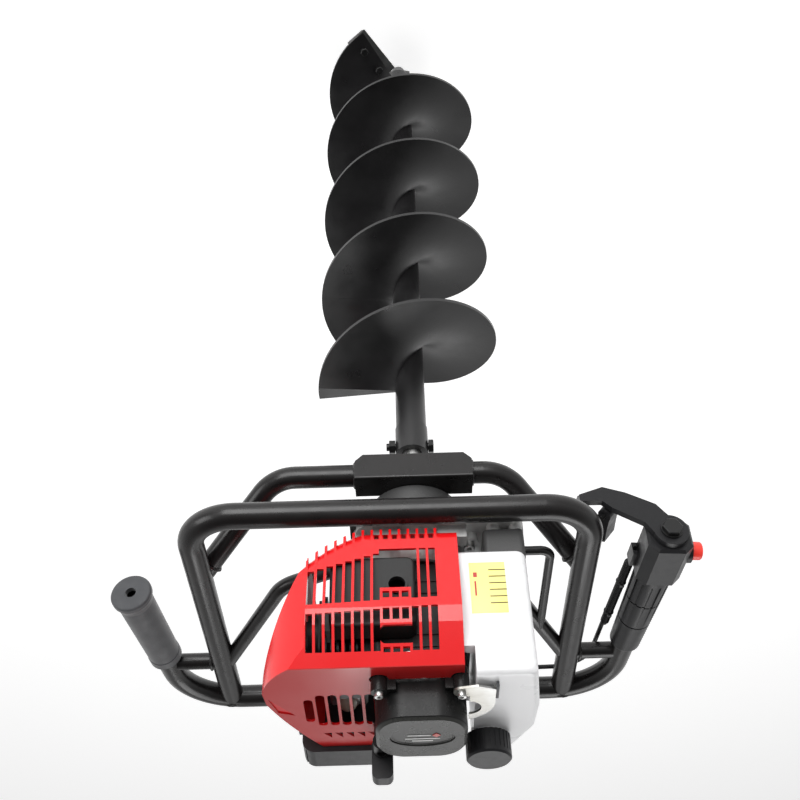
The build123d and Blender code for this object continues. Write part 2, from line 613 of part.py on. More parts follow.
def tank_body(inset):
    """The tank's outer form, or the hollow's when inset."""
    plan = make_face([
        Line((-36 - inset, -60 + inset), (-98 + inset, -60 + inset)),
        Line((-98 + inset, -60 + inset), (-104 + inset, 6)),
        Line((-104 + inset, 6), (-102 + inset, 44)),
        Line((-102 + inset, 44), (-84 + inset, 84 - inset)),
        Line((-84 + inset, 84 - inset), (-46.5 - inset, 84 - inset)),
        Line((-46.5 - inset, 84 - inset), (-46.5 - inset, -46)),
        Line((-46.5 - inset, -46), (-36 - inset, -49 - inset)),
        Line((-36 - inset, -49 - inset), (-36 - inset, -60 + inset)),
    ])
    body = Pos(0, 0, 901 + inset) * extrude(plan, 123 - 2 * inset)
    upright = body.edges().filter_by(Axis.Z)
    outer = upright.filter_by(lambda e: e.center().X < -80)
    body = fillet(outer, 10 - inset)
    ends = body.faces().filter_by(Plane.XY)
    rims = ShapeList([e for f in ends for e in f.edges() if e.center().X < -66])
    return fillet(rims, 6 - inset)


def make_tank():
    tank = tank_body(0)
    tank += disc(1020, 1033, 15.0, CAP_X, CAP_Y)
    tank -= block(-46.5, -20, -70, -40, 998, 1030)
    hollow = tank_body(WALL) - block(-49, -20, -70, -40, 995.5, 1030)
    tank -= hollow
    tank -= disc(1015, 1040, 12.5, CAP_X, CAP_Y)
    write("fuel_tank", max(tank.solids(), key=lambda s: s.volume))

    cap = disc(1027, 1049, 20.5, CAP_X, CAP_Y)
    cap = chamfer(cap.edges().sort_by(Axis.Z)[-1], 1.6)
    for k in range(28):
        angle = 360 / 28 * k
        groove = Pos(CAP_X, CAP_Y, 0) * Rot(0, 0, angle) * block(20.0, 23, -0.9, 0.9, 1026, 1044)
        cap -= groove
    cap -= disc(1027, 1045, 15.3, CAP_X, CAP_Y)
    write("fuel_cap", cap)

    outline = make_face([
        Line((-34, -44), (-48, -47)),
        Line((-48, -47), (-63, -41)),
        Line((-63, -41), (-63, -14)),
        ThreePointArc((-63, -14), (-55, 3), (-41, 13)),
        Line((-41, 13), (-41, -30)),
        Line((-41, -30), (-34, -30)),
        Line((-34, -30), (-34, -44)),
    ])
    plate = Pos(0, 0, EAR_TOP) * extrude(outline, 2)
    plate += disc(EAR_TOP, EAR_TOP + 2, 7.0, *RECOIL_EARS[1])
    plate -= disc(1020, 1035, 12.0, -39.5, -9)
    plate -= disc(1020, 1035, 2.0, *RECOIL_EARS[1])
    plate += block(-63, -61, -38, -18, 1024, EAR_TOP + 2)
    plate = max(plate.solids(), key=lambda s: s.volume)
    write("tank_bracket", plate)

    cradle = block(-100, -62, -50, 10, 872.5, 901)
    cradle = fillet(cradle.edges().filter_by(Axis.Z), 5)
    write("tank_cradle", cradle)


# ---------------------------------------------------------------- frame
def loop_points():
    return [
        (FRAME_X + LEG_X, REAR_Y, FRAME_Z), (FRAME_X + LEG_X, FRONT_Y, FRAME_Z),
        (FRAME_X - LEG_X, FRONT_Y, FRAME_Z), (FRAME_X - LEG_X, REAR_Y, FRAME_Z),
    ]


LEFT_CORNER = (FRAME_X + GRIP_X, REAR_Y, FRAME_Z)
RIGHT_CORNER = (FRAME_X - GRIP_X, REAR_Y, FRAME_Z)
LEFT_END = (FRAME_X + GRIP_X + 23.0, 62.0, FRAME_Z)
RIGHT_DIR = Vector(-28.0, -318.0, 0).normalized()
RIGHT_IN = Vector(0, 0, 1).cross(RIGHT_DIR)
RIGHT_LENGTH = 285.0


def on_right(s, inward=0.0, up=0.0):
    """A point by the throttle grip: s along its axis from the rear corner, inward to the engine, and up."""
    p = Vector(*RIGHT_CORNER) + RIGHT_DIR * s + RIGHT_IN * inward + Vector(0, 0, up)
    return (p.X, p.Y, p.Z)


def make_frame():
    bends = [CORNER_R, CORNER_R]
    rear = [LEFT_END, LEFT_CORNER, RIGHT_CORNER, on_right(RIGHT_LENGTH)]
    bar_solid = bar(rear, TUBE_OD / 2, BEND_R)
    handlebar = bar_solid - bar(rear, TUBE_OD / 2 - TUBE_WALL, BEND_R)
    write("handlebar", handlebar)
    loop_solid = bar(loop_points(), TUBE_OD / 2, CORNER_R)
    loop = tube(loop_points(), TUBE_OD, TUBE_WALL, CORNER_R) - bar_solid
    write("front_loop", max(loop.solids(), key=lambda s: s.volume))

    pad_points = [
        (FRAME_X + LEG_X - 2, 34, FRAME_Z - 6), (FRAME_X + 112, PAD_Y, PAD_Z),
        (FRAME_X - 112, PAD_Y, PAD_Z), (FRAME_X - LEG_X + 2, 34, FRAME_Z - 6),
    ]
    pad = tube(pad_points, PAD_TUBE_OD, TUBE_WALL, 42) - loop_solid
    write("pad_bar", max(pad.solids(), key=lambda s: s.volume))

    r = PAD_TUBE_OD / 2
    x0 = -57.0
    x1 = 57.0
    z_top = PAD_Z + r
    y_front = PAD_Y - r
    front = block(x0, x1, y_front - 3, y_front, z_top - 26, z_top + 3)
    for x in (x0, x1):
        front -= Pos(x, y_front, z_top - 26) * Rot(0, 45, 0) * Box(11, 20, 11)
    top = block(x0, x1, y_front - 3, PAD_Y + r + 4, z_top, z_top + 3)
    guard = front + top
    fold = guard.edges().filter_by(Axis.X).sort_by(lambda e: e.center().Y - e.center().Z)[0]
    write("guard_plate", fillet(fold, 2.5))

    # steel plate between the gearbox and the engine, welded to the front bar and to the struts
    plate = block(-62, 62, -56, 72, MOUNT_Z[0], MOUNT_Z[1])
    plate = fillet(plate.edges().filter_by(Axis.Z), 10)
    plate -= disc(850, 860, 22.0)
    plate -= disc(850, 860, 8.0, -36, LAYSHAFT_Y)
    for x, y in MOUNT_BOLTS:
        plate -= disc(850, 860, 3.0, x, y)
    plate = max((plate - loop_solid).solids(), key=lambda s: s.volume)
    write("mount_plate", plate)

    struts = []
    for points in (
        [(FRAME_X + LEG_X - 2, 208, 862), (FRAME_X + 112, 62, 856), (56, 34, 848)],
        [(FRAME_X - LEG_X + 2, 208, 862), (FRAME_X - 112, 62, 854), (-56, 34, 848)],
    ):
        strut = bar(points, STRUT_OD / 2, 36) - loop_solid - block(-62, 62, -60, 80, 830, 858)
        strut -= block(-100, 56, -52, 60, 858, 880)
        struts.append(max(strut.solids(), key=lambda s: s.volume))

    braces = []
    for x0, x1 in ((FRAME_X + LEG_X, FRAME_X + GRIP_X + 8), (FRAME_X - LEG_X, FRAME_X - GRIP_X - 8)):
        brace = rod((x0, 199, FRAME_Z), (x1, 199, FRAME_Z), BRACE_OD / 2) - loop_solid - bar_solid
        for strut in struts:
            brace -= strut
        braces.append(max(brace.solids(), key=lambda s: s.volume))
    write("frame_struts", group(*struts, *braces))

    stay = bar([(-100, 2, 862), (-131, 2, 862), (-131, 156, 862)], 4.5, 11) - struts[1]
    write("tank_stay", max(stay.solids(), key=lambda s: s.volume))


# ---------------------------------------------------------------- grips
GRIP_S = (106.0, 246.0)         # throttle grip, measured from the rear corner
HEAD_S = (246.4, 304.0)
ARM_S = (304.0, 311.0)


def at_right(s):
    """A location on the throttle grip's axis: x inward, y up, z out along the axis."""
    return Location(Plane(origin=on_right(s), x_dir=RIGHT_IN, z_dir=RIGHT_DIR))


def make_left_grip():
    axis = Vector(*LEFT_END) - Vector(*LEFT_CORNER)
    length = axis.length
    start = Location(Plane(origin=LEFT_CORNER, z_dir=axis))
    s0 = length - 122
    r = TUBE_OD / 2
    profile = make_face([
        Line((r, s0), (17.6, s0)),
        Line((17.6, s0), (17.6, s0 + 9)),
        Line((17.6, s0 + 9), (17.0, s0 + 10)),
        Line((17.0, s0 + 10), (18.2, length - 10)),
        Line((18.2, length - 10), (19.6, length - 4)),
        Line((19.6, length - 4), (21.0, length)),
        Line((21.0, length), (21.0, length + 3.5)),
        ThreePointArc((21.0, length + 3.5), (20.2, length + 5.2), (18.5, length + 6)),
        Line((18.5, length + 6), (5.5, length + 6)),
        Line((5.5, length + 6), (5.5, length)),
        Line((5.5, length), (r, length)),
        Line((r, length), (r, s0)),
    ])
    write("left_grip", start * revolve(Plane.XZ * profile, Axis.Z))


def make_throttle():
    r = TUBE_OD / 2
    length = GRIP_S[1] - GRIP_S[0]
    sleeve = Cone(16.4, 19.4, length, align=(Align.CENTER, Align.CENTER, Align.MIN))
    sleeve = fillet(sleeve.edges().sort_by(Axis.Z)[0], 3.0)
    for k in range(14):
        groove = Pos(0, 0, length / 2 + 4) * Rot(0, 0, 360 / 14 * k) * Pos(18.6, 0, 0) * Box(2.4, 2.6, length - 26)
        sleeve -= groove
    for z in (length * 0.36, length * 0.66):
        sleeve -= Pos(0, 0, z) * (Cylinder(24, 1.8) - Cylinder(16.4, 1.8))
    sleeve -= Cylinder(r, 3 * length)
    write("throttle_grip", at_right(GRIP_S[0]) * sleeve)

    depth = HEAD_S[1] - HEAD_S[0]
    head = extrude(Rectangle(44, 42), depth)
    head = chamfer(head.edges().filter_by(Axis.Z), 9.0)
    head = chamfer(head.faces().sort_by(Axis.Z)[-1].edges(), 2.5)
    head += Pos(-23, 0, 30) * Rot(0, 90, 0) * Cylinder(12, 8)
    head += Pos(22, -7, 12) * Box(10, 14, 20)
    head -= Pos(0, 0, 0) * Cylinder(r, 2 * (RIGHT_LENGTH - HEAD_S[0]))
    head -= Cylinder(5.0, 400)
    head -= Pos(-25, 0, 30) * Rot(0, 90, 0) * Cylinder(9.05, 9)
    head -= Pos(24, -7, 12) * Cylinder(2.5, 40)
    write("throttle_head", at_right(HEAD_S[0]) * head)

    arm = make_face(Polyline(
        (0, -17), (10, -30), (38, -43), (60, -49), (84, -39), (84, -31), (62, -32), (53, -24), (24, -8), (14, 8), (0, 8),
        close=True))
    thick = ARM_S[1] - ARM_S[0]
    guard = extrude(arm, thick) + Cylinder(17, thick, align=(Align.CENTER, Align.CENTER, Align.MIN))
    guard += Pos(80, -36.5, -8) * Box(8, 11, 18)
    pivot = Location((PIVOT[0], PIVOT[1], PIVOT[2] - ARM_S[0]), (0, 0, PIVOT_TURN))
    for side in (-1, 1):
        ear = pivot * (Pos(0, side * 12.5, 2) * Box(10, 3.2, 12))
        ear += pivot * (Pos(0, side * 12.5, 0) * Rot(90, 0, 0) * Cylinder(5, 3.2))
        guard += ear
    guard -= pivot * (Rot(90, 0, 0) * Cylinder(2.0, 60))
    guard -= Cylinder(5.0, 60)
    guard = guard - pivot * (Rot(90, 0, 0) * Cylinder(7.5, 21.6))
    write("trigger_guard", at_right(ARM_S[0]) * max(guard.solids(), key=lambda s: s.volume))

    bolt = hex_bolt(30.0, 10.0, 17.0, 6.4) + Pos(0, 0, -0.01) * Cylinder(5, 0.1)
    bolt += Pos(0, 0, 0) * Cylinder(10.5, 1.6, align=(Align.CENTER, Align.CENTER, Align.MIN))

    turn = Location((PIVOT[0], PIVOT[1], PIVOT[2] - ARM_S[0]), (0, 0, PIVOT_TURN))
    blade = make_face(Polyline((-6, 0), (-7, -16), (-9, -36), (-3, -40), (5, -32), (8, -14), (6, 0), close=True))
    trigger = extrude(Plane.XZ * blade, 9.5, both=True)
    trigger = chamfer(trigger.edges().filter_by(Axis.Y).sort_by(Axis.Z)[0], 1.5)
    trigger += Rot(90, 0, 0) * Cylinder(6.8, 19)
    trigger -= Rot(90, 0, 0) * Cylinder(2.0 + RUN, 60)
    write("throttle_trigger", at_right(ARM_S[0]) * turn * trigger)
    pin = at_right(ARM_S[0]) * turn * (Rot(90, 0, 0) * Cylinder(2.0, 28.2))
    write("guard_bolt_and_pin", group(at_right(ARM_S[1]) * bolt, pin))

    button = Cylinder(9.0, 14, align=(Align.CENTER, Align.CENTER, Align.MIN))
    button = fillet(button.edges().sort_by(Axis.Z)[-1], 2.5)
    write("stop_button", at_right(HEAD_S[0]) * Pos(-24, 0, 30) * Rot(0, -90, 0) * button)


PIVOT = (52.0, -33.0, 295.5)    # trigger pin: inward, up, and along the grip's axis
PIVOT_TURN = -38.5              # the pin lies across the arm


def make_cable():
    start = on_right(HEAD_S[0] - 7.4, 24, -12)
    points = [
        start,
        on_right(112, 23.5, -16),
        (-193.5, 262.5, 846),
        (-70, 262, 848),
        (6, 252, 862),
        (18, 170, 905),
        (14, 100, 941),
        (24, 68, 951),
        (42, 68, 951),
    ]
    path = FilletPolyline(*points, radius=[90, 44, 90, 40, 60, 30, 12])
    cable = sweep(Plane(origin=path @ 0, z_dir=path % 0) * Circle(2.5), path=path)
    print("cable length", round(path.length, 1), "volume ratio", cable.volume / (path.length * math.pi * 6.25))
    write("throttle_cable", cable)


make_bit()
make_gearbox()
make_clutch()
make_cylinder_train()
make_engine_fittings()
make_shroud()
make_recoil()
make_tank()
make_frame()
make_left_grip()
make_throttle()
make_cable()
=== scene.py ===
import json
import math

import bpy
from mathutils import Matrix, Vector


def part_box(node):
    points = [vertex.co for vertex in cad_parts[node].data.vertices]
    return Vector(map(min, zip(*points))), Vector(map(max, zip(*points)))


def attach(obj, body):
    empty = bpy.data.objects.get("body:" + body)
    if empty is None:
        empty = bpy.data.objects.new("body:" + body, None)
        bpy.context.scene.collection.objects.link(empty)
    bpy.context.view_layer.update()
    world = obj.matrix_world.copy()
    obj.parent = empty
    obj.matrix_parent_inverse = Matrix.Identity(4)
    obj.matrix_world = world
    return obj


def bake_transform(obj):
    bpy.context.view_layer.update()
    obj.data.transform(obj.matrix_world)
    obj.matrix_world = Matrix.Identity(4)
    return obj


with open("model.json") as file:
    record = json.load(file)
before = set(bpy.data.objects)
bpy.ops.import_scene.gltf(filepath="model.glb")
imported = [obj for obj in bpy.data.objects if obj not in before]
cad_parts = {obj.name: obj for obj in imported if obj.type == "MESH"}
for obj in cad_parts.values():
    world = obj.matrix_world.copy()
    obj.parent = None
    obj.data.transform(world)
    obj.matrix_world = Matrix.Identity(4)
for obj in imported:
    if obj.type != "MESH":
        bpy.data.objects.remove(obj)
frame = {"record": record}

bl_info = {
    "name": "Ice Fishing Auger",
    "version": (1, 0, 0),
    "blender": (4, 5, 0),
    "location": "3D View > Sidebar > Auger",
    "description": "Finishes and small pieces of a one-person petrol auger",
    "category": "Add Mesh",
}

MM = 0.001
ROOT = "powerhead"
STARTER_FACE_Z = 1.0477
COVER_FACE_Z = 1.0143
EDGE_BLUR = 0.0004
QUARTER = math.radians(90)
FLIGHT_PITCH = 144.7 * MM
FLIGHT_TURNS = 4
BRACE_Y = 199 * MM
PAD_BAR_START = Vector((2 * MM, 34 * MM, 6 * MM))
PAD_BAR_RUN = Vector((76.0, 76.0, 57.5))
GUARD_BAR_Y = -42 * MM
ROPE_Z = 1036 * MM
CAMERA_RIGHT = Vector((-0.999594, 0.019033, 0.021189))
CAMERA_UP = Vector((-0.028482, -0.667968, -0.743645))
CAMERA_PLACE = (0.01111, -0.89957, 1.47068)
# name, place, width and power in watts
SOFTBOXES = (
    ("front softbox", (0.35, -2.0, 0.75), 1.3, 36.0),
    ("side softbox", (1.9, -1.0, 1.3), 1.0, 12.0),
    ("high softbox", (-0.3, 1.3, 2.5), 1.3, 22.0),
)


# ---------------------------------------------------------------- sizes and colours
def colour(name, description, default):
    return bpy.props.FloatVectorProperty(
        name=name, description=description, subtype="COLOR", size=3, min=0.0, max=1.0, default=default)


def length(name, description, default):
    return bpy.props.FloatProperty(
        name=name, description=description, default=default, unit="LENGTH", precision=5)


class AugerColours(bpy.types.PropertyGroup):
    frame_paint: colour("Frame paint", "Powder coat on the tubes", (0.0060, 0.0052, 0.0052))
    bit_paint: colour("Bit paint", "Paint on the flight and its tube", (0.0065, 0.0062, 0.0066))
    cover: colour("Engine cover", "Moulded cover over the engine", (0.60, 0.006, 0.008))
    # Paler red for the face round the starter: a painted sheen for the light that face catches.
    cover_top_painted_sheen: colour("Engine cover, top", "The cover's face round the starter", (0.42, 0.012, 0.012))
    button: colour("Stop button", "Button on the throttle head", (0.85, 0.045, 0.03))
    tank: colour("Tank", "Milky plastic of the fuel tank", (0.79, 0.79, 0.80))
    label: colour("Label", "Ground of the tank's label", (0.86, 0.78, 0.24))
    # Sets the lighter grey of the starter's face, which is painted reflection; the sides take a fixed near
    # black.
    starter: colour("Starter", "Starter housing", (0.018, 0.018, 0.017))
    cast: colour("Casting", "Raw aluminium castings", (0.60, 0.60, 0.59))
    steel: colour("Bright steel", "Screws, bolts and washers", (0.62, 0.62, 0.61))
    plastic: colour("Black plastic", "Grip, filter box, cap and handle", (0.011, 0.011, 0.012))
    rubber: colour("Rubber", "Left grip", (0.030, 0.032, 0.036))


class AugerSizes(bpy.types.PropertyGroup):
    bead: length("Weld bead", "Radius of the bead round a tube joint", 1.7 * MM)
    root_bead: length("Root weld", "Radius of the bead along the flight's root", 2.3 * MM)
    loom: length("Loom", "Radius of the corrugated sleeve over the throttle cable", 4.6 * MM)
    rope: length("Rope", "Radius of the starter rope", 1.7 * MM)
    label_width: length("Label width", "Across the tank's front", 32.0 * MM)
    label_height: length("Label height", "Along the tank's front", 52.0 * MM)


def sizes():
    return bpy.context.scene.auger_sizes


def colours():
    return bpy.context.scene.auger_colours


# ---------------------------------------------------------------- materials
class Finish:
    """A node material being built: a principled shader and the links into it."""

    def __init__(self, name, base, roughness, metallic=0.0):
        self.material = bpy.data.materials.new(name)
        self.material.use_nodes = True
        self.nodes = self.material.node_tree.nodes
        self.links = self.material.node_tree.links
        self.shader = self.nodes["Principled BSDF"]
        self.shader.inputs["Base Color"].default_value = (*base, 1.0)
        self.shader.inputs["Roughness"].default_value = roughness
        self.shader.inputs["Metallic"].default_value = metallic
        self.place = self.nodes.new("ShaderNodeTexCoord")

    def set(self, socket, value):
        self.shader.inputs[socket].default_value = value
        return self

    def noise(self, scale, detail=3.0, stretch=(1.0, 1.0, 1.0)):
        mapping = self.nodes.new("ShaderNodeMapping")
        mapping.inputs["Scale"].default_value = stretch
        self.links.new(self.place.outputs["Object"], mapping.inputs["Vector"])
        texture = self.nodes.new("ShaderNodeTexNoise")
        texture.inputs["Scale"].default_value = scale
        texture.inputs["Detail"].default_value = detail
        self.links.new(mapping.outputs["Vector"], texture.inputs["Vector"])
        return texture.outputs["Fac"]

    def between(self, factor, low, high):
        spread = self.nodes.new("ShaderNodeMapRange")
        spread.inputs["From Min"].default_value = 0.3
        spread.inputs["From Max"].default_value = 0.7
        spread.inputs["To Min"].default_value = low
        spread.inputs["To Max"].default_value = high
        self.links.new(factor, spread.inputs["Value"])
        return spread.outputs["Result"]

    def mottled(self, scale, low, high, stretch=(1.0, 1.0, 1.0)):
        """Roughness that drifts between two values."""
        drift = self.between(self.noise(scale, 4.0, stretch), low, high)
        self.links.new(drift, self.shader.inputs["Roughness"])
        return self

    def bump(self, height, strength, distance):
        node = self.nodes.new("ShaderNodeBump")
        node.inputs["Strength"].default_value = strength
        node.inputs["Distance"].default_value = distance
        self.links.new(height, node.inputs["Height"])
        self.links.new(node.outputs["Normal"], self.shader.inputs["Normal"])
        return self

    def grain(self, scale, strength, distance):
        """A fine bump over the whole surface."""
        return self.bump(self.noise(scale, 2.0), strength, distance)

    def shifted(self, factor, low, high):
        """Base colour that runs from low to high with a factor."""
        mix = self.nodes.new("ShaderNodeMix")
        mix.data_type = "RGBA"
        mix.inputs[6].default_value = (*low, 1.0)
        mix.inputs[7].default_value = (*high, 1.0)
        self.links.new(factor, mix.inputs[0])
        self.links.new(mix.outputs[2], self.shader.inputs["Base Color"])

    def clouded(self, scale, low, high):
        """Base colour that drifts between two values."""
        self.shifted(self.between(self.noise(scale), 0.0, 1.0), low, high)

    def axis(self, letter):
        split = self.nodes.new("ShaderNodeSeparateXYZ")
        self.links.new(self.place.outputs["Object"], split.inputs["Vector"])
        return split.outputs[letter]

    def combined(self, operation, a, b):
        """Two values put through one operation; either may be a plain number."""
        node = self.nodes.new("ShaderNodeMath")
        node.operation = operation
        for socket, value in zip(node.inputs, (a, b)):
            if isinstance(value, float):
                socket.default_value = value
            else:
                self.links.new(value, socket)
        return node.outputs["Value"]

    def step(self, value, edge, soft):
        """0 below an edge and 1 above it."""
        node = self.nodes.new("ShaderNodeMapRange")
        node.inputs["From Min"].default_value = edge - soft
        node.inputs["From Max"].default_value = edge + soft
        self.links.new(value, node.inputs["Value"])
        return node.outputs["Result"]


def tinted(base, factor):
    return tuple(min(1.0, c * factor) for c in base)


def frame_paint():
    base = colours().frame_paint
    f = Finish("frame paint", base, 0.30)
    f.clouded(9.0, tinted(base, 0.85), tinted(base, 1.35))
    f.mottled(60.0, 0.24, 0.36)
    f.grain(900.0, 0.10, 0.0004)
    f.set("Coat Weight", 0.12).set("Coat Roughness", 0.12).set("Specular IOR Level", 0.30)
    return f.material


def bit_paint():
    base = colours().bit_paint
    f = Finish("bit paint", base, 0.34)
    f.clouded(14.0, tinted(base, 0.7), tinted(base, 1.6))
    f.mottled(35.0, 0.27, 0.40)
    f.grain(320.0, 0.08, 0.0004)
    return f.material


def tool_steel():
    base = (0.05, 0.05, 0.05)
    f = Finish("tool steel", base, 0.45, 0.5)
    f.clouded(60.0, base, (0.10, 0.10, 0.10))
    f.grain(500.0, 0.2, 0.0004)
    return f.material


def bright_steel():
    f = Finish("bright steel", colours().steel, 0.28, 1.0)
    f.mottled(200.0, 0.22, 0.40)
    return f.material


def gear_steel():
    f = Finish("gear steel", (0.36, 0.36, 0.35), 0.32, 1.0)
    f.mottled(160.0, 0.25, 0.45)
    return f.material


def zinc_plate():
    f = Finish("zinc plate", (0.36, 0.36, 0.34), 0.34, 1.0)
    f.clouded(40.0, (0.33, 0.32, 0.29), (0.44, 0.44, 0.43))
    f.mottled(90.0, 0.28, 0.48, (1.0, 6.0, 1.0))
    return f.material


def cast_alloy():
    base = colours().cast
    f = Finish("cast alloy", base, 0.5, 0.75)
    f.clouded(30.0, tinted(base, 0.85), tinted(base, 1.1))
    f.mottled(70.0, 0.42, 0.62)
    f.grain(700.0, 0.35, 0.0006)
    return f.material


def dark_casting():
    f = Finish("dark casting", (0.05, 0.05, 0.05), 0.5, 0.2)
    f.grain(600.0, 0.3, 0.0006)
    return f.material


def rubber():
    f = Finish("grip rubber", colours().rubber, 0.62)
    f.mottled(80.0, 0.55, 0.72)
    f.grain(1400.0, 0.25, 0.0003)
    f.set("Sheen Weight", 0.25).set("Sheen Roughness", 0.5)
    return f.material


def black_plastic():
    base = colours().plastic
    f = Finish("black plastic", base, 0.36)
    f.mottled(120.0, 0.30, 0.42)
    f.grain(1500.0, 0.18, 0.0003)
    f.set("Specular IOR Level", 0.25)
    return f.material


def starter_plastic():
    """Glossier black on the sides, with the face painted a lighter grey: painted reflection for the light
    the upward face catches.
    """
    base = colours().starter
    f = Finish("starter plastic", base, 0.30)
    # Painted reflection: the face above STARTER_FACE_Z is lighter grey than the sides.
    face = f.step(f.axis("Z"), STARTER_FACE_Z, EDGE_BLUR)
    f.shifted(face, (0.006, 0.006, 0.006), tinted(base, 1.5))
    f.mottled(90.0, 0.24, 0.34)
    f.grain(1200.0, 0.12, 0.0003)
    f.set("Specular IOR Level", 0.25)
    return f.material


def exhaust_paint():
    f = Finish("exhaust paint", (0.008, 0.008, 0.008), 0.55, 0.2)
    f.grain(400.0, 0.3, 0.0005)
    return f.material


def porcelain():
    return Finish("porcelain", (0.80, 0.79, 0.76), 0.12).set("Coat Weight", 0.4).material


def cover_plastic():
    """Glossy red, with a paler red painted on the face round the starter: a painted sheen for the light that
    upward face catches.
    """
    f = Finish("cover plastic", colours().cover, 0.22)
    # Painted sheen: above COVER_FACE_Z the red turns to the paler top colour.
    f.shifted(f.step(f.axis("Z"), COVER_FACE_Z, EDGE_BLUR), colours().cover, colours().cover_top_painted_sheen)
    f.mottled(25.0, 0.17, 0.27)
    f.grain(260.0, 0.05, 0.0004)
    f.set("Coat Weight", 0.15).set("Coat Roughness", 0.08).set("Specular IOR Level", 0.35)
    return f.material


def button_plastic():
    f = Finish("button plastic", colours().button, 0.3)
    f.set("Subsurface Weight", 0.1)
    # Painted glow: the faint emission lights the button, which is no lamp.
    f.set("Emission Color", (*colours().button, 1.0)).set("Emission Strength", 0.06)
    return f.material


def tank_plastic():
    """Milky, slightly see-through plastic with a faint cloud in it."""
    base = colours().tank
    f = Finish("tank plastic", base, 0.32)
    f.clouded(12.0, tinted(base, 0.97), tinted(base, 1.04))
    f.mottled(20.0, 0.26, 0.38)
    f.grain(500.0, 0.06, 0.0004)
    f.set("Subsurface Weight", 0.35).set("Subsurface Radius", (0.02, 0.02, 0.02))
    f.set("Subsurface Scale", 0.6)
    f.set("Coat Weight", 0.15).set("Coat Roughness", 0.2)
    return f.material


def painted_shade_engine():
    # Near black on the crankcase and cylinder: painted shade for the dark inside the cover.
    f = Finish("painted shade engine", (0.012, 0.011, 0.011), 0.5, 0.3)
    f.grain(500.0, 0.3, 0.0005)
    return f.material


def black_steel():
    f = Finish("black steel", (0.03, 0.03, 0.03), 0.35, 0.8)
    f.mottled(200.0, 0.28, 0.45)
    return f.material


def label_print():
    """Yellow ground with upright rows of plain dark strokes in place of words."""
    f = Finish("label print", colours().label, 0.4)
    rows = f.nodes.new("ShaderNodeTexBrick")
    rows.offset = 0.43
    for socket, value in (
        ("Color1", (0.0, 0.0, 0.0, 1.0)),
        ("Color2", (0.0, 0.0, 0.0, 1.0)),
        ("Mortar", (1.0, 1.0, 1.0, 1.0)),
        ("Scale", 1.0),
        ("Mortar Size", 0.0011),
        ("Mortar Smooth", 0.1),
        ("Brick Width", 0.0075),
        ("Row Height", 0.0034),
    ):
        rows.inputs[socket].default_value = value
    turn = f.nodes.new("ShaderNodeMapping")
    turn.inputs["Rotation"].default_value = (QUARTER, QUARTER, 0.0)
    f.links.new(f.place.outputs["Object"], turn.inputs["Vector"])
    f.links.new(turn.outputs["Vector"], rows.inputs["Vector"])
    printed = f.step(rows.outputs["Color"], 0.5, 0.2)
    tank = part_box("fuel_tank")
    margin = f.step(f.axis("X"), tank[0].x + 41 * MM, 0.2 * MM)
    foot = f.step(f.axis("Z"), tank[0].z + 19 * MM, 0.2 * MM)
    head = f.step(f.axis("Z"), tank[0].z + 62 * MM, 0.2 * MM)
    # bare ground beyond the margin, above the head and below the foot
    clear = f.combined("MAXIMUM", margin, head)
    ground = f.combined("MAXIMUM", printed, clear)
    below = f.combined("SUBTRACT", 1.0, foot)
    bare = f.combined("MAXIMUM", ground, below)
    f.shifted(bare, (0.12, 0.09, 0.02), colours().label)
    return f.material


def badge_ink():
    return Finish("badge ink", (0.42, 0.03, 0.02), 0.35).material


def pale_ink():
    return Finish("pale ink", (0.55, 0.55, 0.54), 0.4).material


def weld_metal():
    """A bead under the paint: the same black, lumpier."""
    f = Finish("weld metal", colours().frame_paint, 0.38)
    f.grain(420.0, 0.7, 0.0012)
    return f.material


def rope_cord():
    f = Finish("rope cord", (0.35, 0.34, 0.32), 0.8)
    wave = f.nodes.new("ShaderNodeTexWave")
    wave.inputs["Scale"].default_value = 160.0
    f.links.new(f.place.outputs["Object"], wave.inputs["Vector"])
    f.bump(wave.outputs["Fac"], 0.8, 0.0006)
    return f.material


def bulb_plastic():
    f = Finish("bulb plastic", (0.75, 0.72, 0.60), 0.15)
    f.set("Transmission Weight", 0.5).set("Coat Weight", 0.3)
    return f.material


# ---------------------------------------------------------------- modelling helpers
def deselect():
    if bpy.context.object and bpy.context.object.mode != "OBJECT":
        bpy.ops.object.mode_set(mode="OBJECT")
    bpy.ops.object.select_all(action="DESELECT")


def paint(node, material):
    """Gives a CAD node its material."""
    mesh = bpy.data.objects[node].data
    mesh.materials.clear()
    mesh.materials.append(material)


def apply_place():
    bpy.ops.object.transform_apply(location=True, rotation=True, scale=True)


def placed(name, material, body=ROOT, angle=35.0):
    """Finishes the active piece: its place goes into its mesh, and it rides on a body."""
    piece = bpy.context.object
    piece.name = name
    piece.data.name = name
    apply_place()
    bpy.ops.object.shade_smooth_by_angle(angle=math.radians(angle))
    piece.data.materials.clear()
    piece.data.materials.append(material)
    if body:
        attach(piece, body)
    return piece


def modifier(kind, **values):
    piece = bpy.context.object
    m = piece.modifiers.new(kind.title(), kind)
    for key, value in values.items():
        setattr(m, key, value)
    bpy.ops.object.modifier_apply(modifier=m.name)


def axis_turn(direction):
    return Vector(direction).to_track_quat("Z", "Y").to_euler()


def add(kind, **values):
    """Adds a mesh primitive as the only selected object."""
    deselect()
    getattr(bpy.ops.mesh, f"primitive_{kind}_add")(**values)


def bevelled_block(location, scale, bevel, segments, rotation=(0.0, 0.0, 0.0)):
    """A box with its size and place in its mesh and its edges bevelled."""
    add("cube", size=1.0, location=location, rotation=rotation, scale=scale)
    apply_place()
    modifier("BEVEL", width=bevel, segments=segments)


